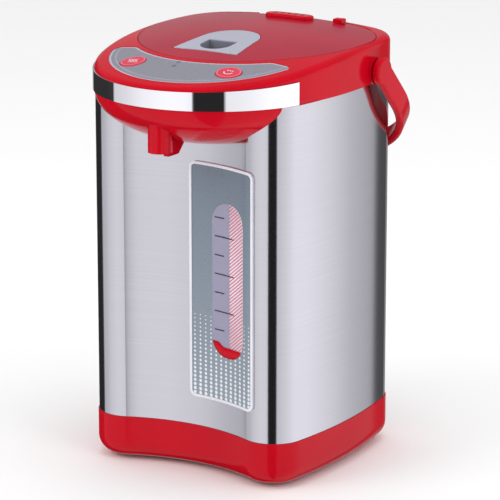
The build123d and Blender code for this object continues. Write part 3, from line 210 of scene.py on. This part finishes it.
# Sizes of the object that the materials and the printed marks follow, in metres.
HOOD_CENTRE_Y = -43.0 * MM
PANEL_RADIUS = 88.8 * MM
PANEL_REAR_Y = -62.0 * MM
LID_CENTRE_Y = 28.0 * MM
LID_HALF = (101.0 * MM, 110.0 * MM)
LID_MARGIN = 5.0 * MM
RIM_WIDTH = 1.9 * MM
INNER_LINE = (6.08 * MM, 5.51 * MM)
BUTTON_X = 46.5 * MM
BUTTON_Y = -97.0 * MM
BUTTON_RING = (9.24 * MM, 10.01 * MM)
DOME_RADIUS = 780.0 * MM
DOME_Y = 50.0 * MM
DOME_TOP = 366.8 * MM
RECESS_DEPTH = 0.9 * MM
RECESS_HALF = 14.4 * MM
RECESS_REAR_Y = -30.2 * MM
DOT_PITCH = (5.6 * MM, 3.6 * MM)
DOT_TOP = 141.0 * MM
DOT_BOTTOM = 68.0 * MM
DOT_RADIUS = (0.5 * MM, 1.55 * MM)
FADE_BOTTOM = 70.0 * MM
FADE_TOP = 270.0 * MM


def control_panel(name):
    """Satin grey panel with a pale rim, a fine inner line and a fine woven grain."""
    s = Shader(name, IOR=1.5, Coat_Weight=0.15, Coat_Roughness=0.1)
    x, y, _ = s.spot()
    grain = s.noise(s.place((1, 1, 1), (0, 0, 0.8)), 1500.0, 2.0)
    face = s.mix(s.remap(grain, 0.35, 0.65, 0.0, 1.0), rgb("#8f8f9b"), rgb("#7c7c88"))
    reach = s.length(x, s.math("SUBTRACT", y, HOOD_CENTRE_Y))
    half_x, half_y = (size + LID_MARGIN for size in LID_HALF)
    share = s.length(
        s.math("DIVIDE", x, half_x), s.math("DIVIDE", s.math("SUBTRACT", y, LID_CENTRE_Y), half_y)
    )
    outer = s.math("GREATER_THAN", reach, PANEL_RADIUS - RIM_WIDTH)
    inner = s.math("LESS_THAN", share, 1 + RIM_WIDTH / half_y)
    rear = s.math("GREATER_THAN", y, PANEL_REAR_Y - RIM_WIDTH)
    line = s.between(reach, PANEL_RADIUS - INNER_LINE[0], PANEL_RADIUS - INNER_LINE[1])
    rim = s.math("MAXIMUM", s.math("MAXIMUM", outer, inner), s.math("MAXIMUM", rear, line))
    s.set("Base Color", s.mix(rim, face, rgb("#b4b4c2")))
    s.set("Roughness", s.remap(grain, 0.3, 0.7, 0.34, 0.46))
    s.set("Normal", s.bump(grain, 0.10, 0.0001))
    return s.mat


def latch_grey(name):
    """Satin silver grey, with painted shade on the floor of the finger recess."""
    s = Shader(name, IOR=1.5, Coat_Weight=0.2, Coat_Roughness=0.08)
    x, y, z = s.spot()
    reach = s.length(x, s.math("SUBTRACT", y, DOME_Y))
    rise = s.math("SQRT", s.math("SUBTRACT", DOME_RADIUS ** 2, s.math("POWER", reach, 2.0)))
    depth = s.math("SUBTRACT", s.math("ADD", rise, DOME_TOP - DOME_RADIUS), z)
    recess_shade = s.math("MULTIPLY", s.math("GREATER_THAN", depth, RECESS_DEPTH),
                    s.between(x, -RECESS_HALF, RECESS_HALF))
    recess_shade = s.math("MULTIPLY", recess_shade, s.math("LESS_THAN", y, RECESS_REAR_Y))
    flow = s.noise(s.place(), 40.0, 2.0)
    face = s.mix(flow, rgb("#b2b4c2"), rgb("#a9abba"))
    # Painted shade: the floor of the finger recess is painted a darker grey than the face.
    s.set("Base Color", s.mix(recess_shade, face, rgb("#80808c")))
    s.set("Roughness", s.remap(flow, 0.3, 0.7, 0.28, 0.36))
    return s.mat


def printed_button(name):
    """Pinkish red button with a pale ring near its rim."""
    s = Shader(name, IOR=1.5, Coat_Weight=0.25, Coat_Roughness=0.06)
    x, y, _ = s.spot()
    across = s.math("SUBTRACT", s.math("ABSOLUTE", x), BUTTON_X)
    reach = s.length(across, s.math("SUBTRACT", y, BUTTON_Y))
    ring = s.between(reach, *BUTTON_RING)
    flow = s.noise(s.place(), 60.0, 2.0)
    face = s.mix(flow, rgb("#e0304a"), rgb("#cf2a44"))
    s.set("Base Color", s.mix(s.math("MULTIPLY", ring, 0.55), face, rgb("#e9a3b0")))
    s.set("Roughness", s.remap(flow, 0.3, 0.7, 0.22, 0.28))
    return s.mat


def gauge_print(name):
    """Slate grey printed face with pale dots that grow towards its lower edge."""
    s = Shader(name, IOR=1.5, Coat_Weight=0.3, Coat_Roughness=0.08)
    x, _, z = s.spot()
    cell_x = s.math("SUBTRACT", s.math("FRACT", s.math("DIVIDE", x, DOT_PITCH[0])), 0.5)
    cell_z = s.math("SUBTRACT", s.math("FRACT", s.math("DIVIDE", z, DOT_PITCH[1])), 0.5)
    reach = s.length(
        s.math("MULTIPLY", cell_x, DOT_PITCH[0]), s.math("MULTIPLY", cell_z, DOT_PITCH[1])
    )
    size = s.remap(z, DOT_BOTTOM, DOT_TOP, DOT_RADIUS[1], DOT_RADIUS[0])
    dots = s.math("MULTIPLY", s.math("LESS_THAN", reach, size), s.math("LESS_THAN", z, DOT_TOP))
    fade = s.remap(z, FADE_BOTTOM, FADE_TOP, 0.0, 1.0)
    face = s.mix(fade, rgb("#8a95a0"), rgb("#687584"))
    s.set("Base Color", s.mix(dots, face, rgb("#dfe3ea")))
    fine = s.noise(s.place(), 700.0, 2.0)
    s.set("Roughness", s.remap(fine, 0.3, 0.7, 0.26, 0.34))
    return s.mat


RED = rgb("#c6051e")
RED_DARK = rgb("#ba041b")
LID_RED = rgb("#b20f30")
LID_DARK = rgb("#a60d2b")
STEEL = (0.635, 0.618, 0.665, 1.0)
BLACK = (0.016, 0.016, 0.018, 1.0)
BLACK_FLOW = (0.022, 0.022, 0.024, 1.0)

MATS = {
    "red_gloss": moulded_plastic("red_gloss", RED, RED_DARK, 0.16, coat=0.12, gloss=0.10),
    "red_lid": moulded_plastic("red_lid", LID_RED, LID_DARK, 0.30, coat=0.22, gloss=0.3),
    "steel_brushed": brushed_steel("steel_brushed", STEEL, 0.10, 0.4),
    "steel_plain": plain_metal("steel_plain", (0.62, 0.62, 0.63, 1), 0.28),
    "chrome": plain_metal("chrome", (0.97, 0.97, 1.0, 1), 0.015, 12.0),
    "panel_grey": control_panel("panel_grey"),
    "lever_grey": latch_grey("lever_grey"),
    "button_red": printed_button("button_red"),
    "gauge_rim": moulded_plastic("gauge_rim", rgb("#e8e8ee"), rgb("#dcdce4"), 0.22, coat=0.3),
    "gauge_face": gauge_print("gauge_face"),
    "clear": clear_plastic("clear", rgb("#aaa6c0"), 0.08, 0.25),
    "clear_tube": clear_plastic("clear_tube", (0.93, 0.94, 0.98, 1), 0.03, 0.9),
    "led_lens": moulded_plastic("led_lens", rgb("#6f6f7e"), rgb("#676776"), 0.2, coat=0.3),
    "rubber_black": rubber("rubber_black", (0.018, 0.018, 0.019, 1)),
    "silicone": rubber("silicone", (0.55, 0.54, 0.51, 1), 0.45),
    "black_plastic": moulded_plastic("black_plastic", BLACK, BLACK_FLOW, 0.45, peel=0.15),
    "white_plastic": moulded_plastic("white_plastic", rgb("#d9d8d2"), rgb("#cfcec8"), 0.4),
    "board_green": moulded_plastic("board_green", rgb("#1d5b35"), rgb("#184f2d"), 0.35),
    "zinc": plain_metal("zinc", (0.55, 0.56, 0.58, 1), 0.34),
    "brass": plain_metal("brass", (0.72, 0.50, 0.22, 1), 0.25),
    "magnet": plain_metal("magnet", (0.10, 0.10, 0.11, 1), 0.5),
}


# ---------------------------------------------------------------- carried-over nodes
CRISP_ANGLE = math.radians(28)


def dress_nodes():
    """Gives each CAD node its material, smooth faces and crisp edges."""
    slots = {part["node"]: part["material_slot"] for part in frame["record"]["subparts"]}
    for name, obj in NODES.items():
        obj.data.materials.clear()
        obj.data.materials.append(MATS[slots[name]])
        for polygon in obj.data.polygons:
            polygon.use_smooth = True
        if obj.data.has_custom_normals:
            continue
        split = obj.modifiers.new("crisp", "EDGE_SPLIT")
        split.split_angle = CRISP_ANGLE


dress_nodes()


# ---------------------------------------------------------------- printed films, and a film of painted shade
HOLLOW_RADIUS = 150.3 * MM
HOLLOW_CENTRE_Y = -230.3 * MM
GAUGE_PROUD = 1.3 * MM
FILM = 0.12 * MM
WINDOW_LOW, WINDOW_HIGH = (Vector(corner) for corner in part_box("gauge_window"))
WINDOW_ROUND = 17.0 * MM
HATCH_LEFT = WINDOW_LOW.x + 0.54 * (WINDOW_HIGH.x - WINDOW_LOW.x)
HATCH_PITCH = 3.0 * MM
TICK_COUNT = 7
TICK_TOP = 225.6 * MM
TICK_PITCH = 16.07 * MM
TICK_LINE = 0.8 * MM
TICK_MARGIN = 3.0 * MM
TICK_SHORT = 10.5 * MM
TICK_LONG = 22.0 * MM
CAP_HEIGHT = (13.0 * MM, 9.0 * MM)
CAP_SLOPE = (5.0 * MM, 14.0 * MM)
HATCH_SLOPE = 0.8
HATCH_SHARE = 0.38
BUTTON_PROUD = 0.3 * MM
CUP_ARC = (3.2 * MM, 4.2 * MM)
CUP_DROP = 0.5 * MM
DROP_RADIUS = 0.8 * MM
DROP_PITCH = 2.2 * MM
DROP_RISE = 2.6 * MM
HEAT_ARC = (1.2 * MM, 2.0 * MM)
HEAT_RISE = 1.6 * MM
HEAT_PITCH = 3.0 * MM
PAD_HALF = 13.5 * MM
PAD_REAR_Y = -31.0 * MM
PAD_SIDE_Y = -42.75 * MM
PAD_FRONT_Y = -54.4 * MM
PAD_STEPS = 24
RECESS_FLOOR = 354.3 * MM


def front_y(x, proud):
    """Y of the body's hollow front over x, moved outwards by proud."""
    return HOLLOW_CENTRE_Y + math.sqrt((HOLLOW_RADIUS - proud) ** 2 - x ** 2)


def window_edge(x):
    """How far the window's rounded end is from its lowest or highest point at x."""
    inset = min(x - WINDOW_LOW.x, WINDOW_HIGH.x - x)
    if inset >= WINDOW_ROUND:
        return 0.0
    return WINDOW_ROUND - math.sqrt(max(0.0, WINDOW_ROUND ** 2 - (WINDOW_ROUND - inset) ** 2))


def in_window(x, z):
    """Keeps a level within the window's outline at x."""
    return max(WINDOW_LOW.z + window_edge(x), min(WINDOW_HIGH.z - window_edge(x), z))


def film_piece(name, shape, mat, body):
    """Makes a thin film of a mesh that rides on a body: a printed mark, or a sheet of painted shade.
    """
    mesh = bpy.data.meshes.new(name)
    shape.to_mesh(mesh)
    shape.free()
    piece = bpy.data.objects.new(name, mesh)
    SCENE.collection.objects.link(piece)
    mesh.materials.append(mat)
    for polygon in mesh.polygons:
        polygon.use_smooth = True
    thick = piece.modifiers.new("film", "SOLIDIFY")
    thick.thickness = FILM
    thick.offset = -1.0
    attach(piece, body)


def add_strip(shape, left, right, low, high, proud, steps=10):
    """Adds a strip over the hollow front, between two edges given as levels over x."""
    pairs = []
    for step in range(steps + 1):
        x = left + (right - left) * step / steps
        y = front_y(x, GAUGE_PROUD + proud)
        pairs.append([(x, y, in_window(x, edge(x))) for edge in (low, high)])
    for first, second in zip(pairs, pairs[1:]):
        if first[1][2] - first[0][2] < 1e-6 or second[1][2] - second[0][2] < 1e-6:
            continue
        corners = (first[0], second[0], second[1], first[1])
        shape.faces.new([shape.verts.new(corner) for corner in corners])
    bmesh.ops.remove_doubles(shape, verts=shape.verts, dist=1e-7)


def gauge_marks():
    """Backing, hatch, ticks and lower cap of the level gauge."""
    right = WINDOW_HIGH.x
    backing = bmesh.new()
    add_strip(backing, HATCH_LEFT, right, lambda x: 0.0, lambda x: 1.0, FILM, 16)
    film_piece("gauge_backing", backing, PALE_PRINT, "pot")
    hatch = bmesh.new()
    count = int((WINDOW_HIGH.z - WINDOW_LOW.z) / HATCH_PITCH)
    for index in range(-4, count):
        base = WINDOW_LOW.z + index * HATCH_PITCH
        add_strip(
            hatch,
            HATCH_LEFT + FILM,
            right - 2 * FILM,
            lambda x, base=base: base + HATCH_SLOPE * (x - HATCH_LEFT),
            lambda x, base=base: base + HATCH_SLOPE * (x - HATCH_LEFT) + HATCH_SHARE * HATCH_PITCH,
            2 * FILM,
        )
    film_piece("gauge_hatch", hatch, PINK_PRINT, "pot")
    ticks = bmesh.new()
    for index in range(TICK_COUNT):
        level = TICK_TOP - index * TICK_PITCH
        left = WINDOW_LOW.x + TICK_MARGIN
        reach = TICK_LONG if index % 2 else TICK_SHORT
        add_strip(
            ticks,
            left,
            left + reach,
            lambda x, level=level: level - TICK_LINE / 2,
            lambda x, level=level: level + TICK_LINE / 2,
            3 * FILM,
        )
    film_piece("gauge_ticks", ticks, MATS["black_plastic"], "pot")
    cap = bmesh.new()

    def scoop(x):
        share = (x - WINDOW_LOW.x - CAP_SLOPE[0]) / (CAP_SLOPE[1] - CAP_SLOPE[0])
        share = max(0.0, min(1.0, share))
        share = share * share * (3 - 2 * share)
        return WINDOW_LOW.z + CAP_HEIGHT[0] + (CAP_HEIGHT[1] - CAP_HEIGHT[0]) * share

    add_strip(cap, WINDOW_LOW.x, right, lambda x: 0.0, scoop, 4 * FILM, 40)
    film_piece("gauge_cap", cap, MATS["red_gloss"], "pot")


def dome_z(x, y):
    """Height of the domed top over a point of the plan."""
    return DOME_TOP - DOME_RADIUS + math.sqrt(DOME_RADIUS ** 2 - x ** 2 - (y - DOME_Y) ** 2)


def add_arc(shape, centre, inner, outer, start, end, steps=20):
    """Adds a part of a ring over the top of a button."""
    rows = []
    for step in range(steps + 1):
        turn = math.radians(start + (end - start) * step / steps)
        row = []
        for radius in (inner, outer):
            x = centre[0] + radius * math.cos(turn)
            y = centre[1] + radius * math.sin(turn)
            row.append((x, y, dome_z(x, y) + BUTTON_PROUD + FILM))
        rows.append(row)
    for first, second in zip(rows, rows[1:]):
        corners = (first[0], first[1], second[1], second[0])
        shape.faces.new([shape.verts.new(corner) for corner in corners])
    bmesh.ops.remove_doubles(shape, verts=shape.verts, dist=1e-7)


def button_marks():
    """A cup with drops on one button and heat lines on the other."""
    cup = bmesh.new()
    add_arc(cup, (BUTTON_X, BUTTON_Y - CUP_DROP), *CUP_ARC, 180, 360)
    for index in (-1, 0, 1):
        place = (BUTTON_X + index * DROP_PITCH, BUTTON_Y + DROP_RISE)
        add_arc(cup, place, 0.0002 * MM, DROP_RADIUS, 0, 360, 12)
    film_piece("dispense_mark", cup, PALE_PRINT, "dispense")
    heat = bmesh.new()
    for index in (-1, 0, 1):
        x = index * HEAT_PITCH - BUTTON_X
        add_arc(heat, (x, BUTTON_Y + HEAT_RISE), *HEAT_ARC, 90, 270, 12)
        add_arc(heat, (x, BUTTON_Y - HEAT_RISE), *HEAT_ARC, -90, 90, 12)
    film_piece("reboil_mark", heat, PALE_PRINT, "reboil")


def recess_shade_pad():
    """Flat grey sheet of painted shade on the floor of the latch's finger recess."""
    shape = bmesh.new()
    outline = [(-PAD_HALF, PAD_REAR_Y), (-PAD_HALF, PAD_SIDE_Y)]
    for step in range(1, PAD_STEPS):
        turn = math.pi * step / PAD_STEPS
        depth = (PAD_SIDE_Y - PAD_FRONT_Y) * math.sin(turn)
        outline.append((-PAD_HALF * math.cos(turn), PAD_SIDE_Y - depth))
    outline += [(PAD_HALF, PAD_SIDE_Y), (PAD_HALF, PAD_REAR_Y)]
    shape.faces.new([shape.verts.new((x, y, RECESS_FLOOR + 2 * FILM)) for x, y in outline])
    film_piece("recess_shade_pad", shape, RECESS_SHADE_GREY, "latch")


PALE_PRINT = moulded_plastic("pale_print", rgb("#e6dfe8"), rgb("#dcd4e0"), 0.3, coat=0.2)
PINK_PRINT = moulded_plastic("pink_print", rgb("#dd6f86"), rgb("#d5657d"), 0.3, coat=0.2)
# Painted shade: the darker grey of the sheet in the latch's finger recess.
RECESS_SHADE_GREY = moulded_plastic("recess_painted_shade", rgb("#787886"), rgb("#6c6c7a"), 0.4, peel=0.2)
gauge_marks()
button_marks()
recess_shade_pad()


# ---------------------------------------------------------------- studio
CAMERA_PLACE = Vector((1.2666, -2.0415, 0.8022))
CAMERA_AZIMUTH = math.radians(31.676)
CAMERA_ELEVATION = math.radians(14.626)
CAMERA_LENS = 208.17
CAMERA_SENSOR = 36.0
CAMERA_CLIP = (0.05, 30.0)


def make_camera():
    """A camera at the fitted place, level and turned by the fitted angles."""
    data = bpy.data.cameras.new("camera")
    data.sensor_width = CAMERA_SENSOR
    data.lens = CAMERA_LENS
    data.clip_start, data.clip_end = CAMERA_CLIP
    camera = bpy.data.objects.new("camera", data)
    SCENE.collection.objects.link(camera)
    camera.location = CAMERA_PLACE
    camera.rotation_euler = (math.pi / 2 - CAMERA_ELEVATION, 0, CAMERA_AZIMUTH)
    SCENE.camera = camera


# The even light of the room, and the grey that glossy faces mirror from above.
SKY_LIGHT = 0.88
CEILING = (0.30, 0.30, 0.32, 1.0)
CEILING_START, CEILING_END = 0.10, 0.40
# The ring of light and shade that glossy walls mirror: degrees round from +X, brightness.
STUDIO_RING = (
    (-180, 0.03),
    (-168.5, 0.04),
    (-167, 0.66),
    (-150, 0.74),
    (-130, 0.92),
    (-105, 1.02),
    (-86, 1.00),
    (-80, 0.92),
    (-78.6, 0.02),
    (-50, 0.02),
    (-48.5, 0.86),
    (-35, 0.90),
    (-21, 0.98),
    (0, 1.10),
    (16, 1.20),
    (42, 1.20),
    (52, 0.98),
    (61, 0.72),
    (73, 0.54),
    (75, 0.09),
    (84, 0.08),
    (87, 0.28),
    (128, 0.40),
    (137, 0.36),
    (139, 0.03),
    (180, 0.03),
)


def make_world():
    """Even light for all rays but the glossy ones, which see a ring of light and dark flags."""
    world = bpy.data.worlds.new("studio")
    SCENE.world = world
    world.use_nodes = True
    tree = world.node_tree
    nodes, links = tree.nodes, tree.links
    background = nodes["Background"]
    coords = nodes.new("ShaderNodeTexCoord")
    split = nodes.new("ShaderNodeSeparateXYZ")
    links.new(coords.outputs["Generated"], split.inputs[0])
    turn = nodes.new("ShaderNodeMath")
    turn.operation = "ARCTAN2"
    links.new(split.outputs["Y"], turn.inputs[0])
    links.new(split.outputs["X"], turn.inputs[1])
    share = nodes.new("ShaderNodeMapRange")
    share.inputs[1].default_value = -math.pi
    share.inputs[2].default_value = math.pi
    links.new(turn.outputs[0], share.inputs[0])
    ring = nodes.new("ShaderNodeValToRGB")
    links.new(share.outputs[0], ring.inputs[0])
    ramp = ring.color_ramp
    ramp.interpolation = "LINEAR"
    while len(ramp.elements) < len(STUDIO_RING):
        ramp.elements.new(0.5)
    for element, (degrees, light) in zip(ramp.elements, STUDIO_RING):
        element.position = (degrees + 180) / 360
        element.color = (light, light, light * 1.03, 1)
    above = nodes.new("ShaderNodeMapRange")
    above.interpolation_type = "SMOOTHSTEP"
    above.inputs[1].default_value = CEILING_START
    above.inputs[2].default_value = CEILING_END
    links.new(split.outputs["Z"], above.inputs[0])
    blend = nodes.new("ShaderNodeMix")
    blend.data_type = "RGBA"
    links.new(above.outputs[0], blend.inputs[0])
    links.new(ring.outputs[0], blend.inputs[6])
    blend.inputs[7].default_value = CEILING
    links.new(blend.outputs[2], background.inputs["Color"])
    even = nodes.new("ShaderNodeBackground")
    even.inputs["Color"].default_value = (SKY_LIGHT, SKY_LIGHT, SKY_LIGHT, 1)
    path = nodes.new("ShaderNodeLightPath")
    choose = nodes.new("ShaderNodeMixShader")
    links.new(path.outputs["Is Glossy Ray"], choose.inputs[0])
    links.new(even.outputs[0], choose.inputs[1])
    links.new(background.outputs[0], choose.inputs[2])
    links.new(choose.outputs[0], nodes["World Output"].inputs["Surface"])


FLOOR_HALF = 6.0


def make_floor():
    """A pale floor that glossy faces do not mirror."""
    mesh = bpy.data.meshes.new("floor")
    shape = bmesh.new()
    bmesh.ops.create_grid(shape, x_segments=1, y_segments=1, size=FLOOR_HALF)
    shape.to_mesh(mesh)
    shape.free()
    floor = bpy.data.objects.new("floor", mesh)
    SCENE.collection.objects.link(floor)
    s = Shader("floor", Roughness=0.9)
    tone = s.noise(s.place(), 1.5, 2.0)
    s.set("Base Color", s.mix(tone, (0.93, 0.93, 0.93, 1), (0.95, 0.95, 0.95, 1)))
    mesh.materials.append(s.mat)
    floor.visible_glossy = False


def soft_light(name, place, aim, size, power):
    """An area light that glossy faces do not mirror; sizes in metres, power in watts."""
    data = bpy.data.lights.new(name, "AREA")
    data.shape = "RECTANGLE"
    data.size, data.size_y = size
    data.energy = power
    light = bpy.data.objects.new(name, data)
    SCENE.collection.objects.link(light)
    light.location = place
    light.rotation_euler = (Vector(aim) - Vector(place)).to_track_quat("-Z", "Y").to_euler()
    light.visible_glossy = False


make_camera()
make_world()
make_floor()
soft_light("key", (-1.2, -2.0, 1.8), (0, 0, 0.2), (1.4, 1.4), 16)
soft_light("fill", (2.2, -0.6, 1.4), (0, 0, 0.2), (1.2, 1.6), 11)
soft_light("top", (0.2, 0.2, 2.4), (0, 0, 0.3), (1.6, 1.6), 10)
